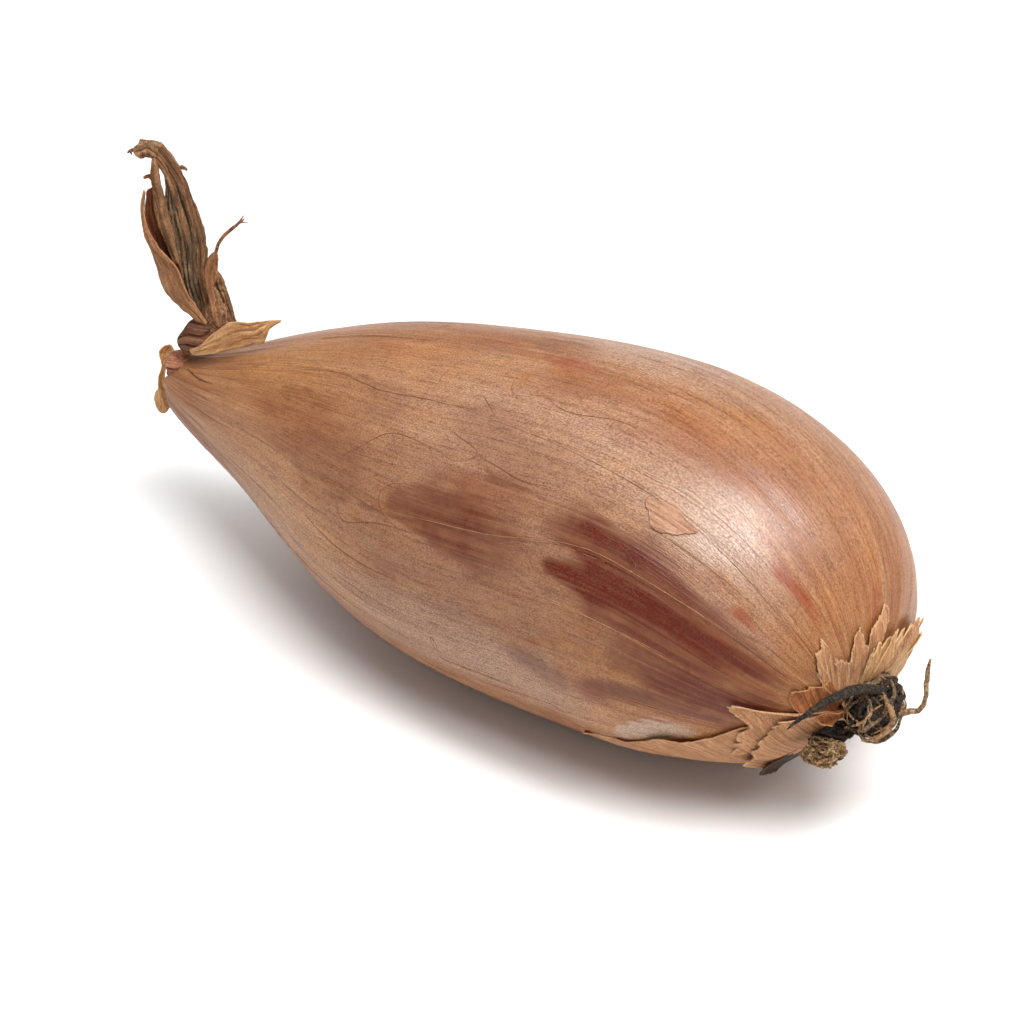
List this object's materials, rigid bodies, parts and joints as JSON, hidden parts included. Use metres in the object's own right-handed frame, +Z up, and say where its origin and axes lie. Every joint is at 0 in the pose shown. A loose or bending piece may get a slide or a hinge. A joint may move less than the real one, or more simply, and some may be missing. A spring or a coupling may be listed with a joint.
{
  "type": "banana shallot",
  "caption": "Long shallot bulb in dry copper skin, lying on its side, with a tuft of dried roots at one end and withered twisted leaves at the neck.",
  "frame": {"origin": "centre of the small flat spot that the bulb rests on, level with the surface under it", "axes": "+Z up; +X along the bulb's length towards the root end, which dips 3 degrees; the dried neck leaves are at -X; -Y is the side the picture shows more of"},
  "size_m": [0.1039, 0.0426, 0.0521],
  "materials": {
    "papery_skin": "satin papery skin, copper tan with red-brown and purple-brown stains and fine lengthwise veins",
    "torn_skin": "matt torn skin, pale orange tan with paler ragged edges",
    "dried_leaf": "matt dried leaf, grey brown to orange tan, ribbed lengthwise",
    "root_crown": "matt black-brown dried root stub, rough and wrinkled",
    "dry_root": "matt straw-brown dried root"
  },
  "bodies": {
    "root": {"back_leaf": "dried_leaf", "back_root": "dry_root", "black_root": "root_crown", "boat_leaf": "dried_leaf", "bottom_peel": "torn_skin", "bulb": "papery_skin", "collar_flap_back": "torn_skin", "collar_flap_back_low": "torn_skin", "collar_flap_far_right": "torn_skin", "collar_flap_right": "torn_skin", "collar_flap_top": "torn_skin", "collar_flap_top_left": "torn_skin", "collar_flap_top_right": "torn_skin", "collar_flap_under": "torn_skin", "collar_flap_under_back": "torn_skin", "curled_flap": "torn_skin", "dark_scrap": "root_crown", "front_leaf": "dried_leaf", "hooked_root": "dry_root", "inner_strip": "dried_leaf", "leaf_thread": "dried_leaf", "lower_flap": "torn_skin", "main_blade": "dried_leaf", "neck_flap": "torn_skin", "neck_knot": "dried_leaf", "orange_flap": "torn_skin", "pale_root": "dry_root", "pink_fold": "dried_leaf", "ragged_flap": "torn_skin", "root_crown": "root_crown", "root_mat": "dry_root", "short_root": "dry_root", "side_root": "dry_root", "skin_bead": "torn_skin", "skin_curl": "torn_skin", "tall_flap": "torn_skin", "under_root": "root_crown"}
  },
  "joints": []
}
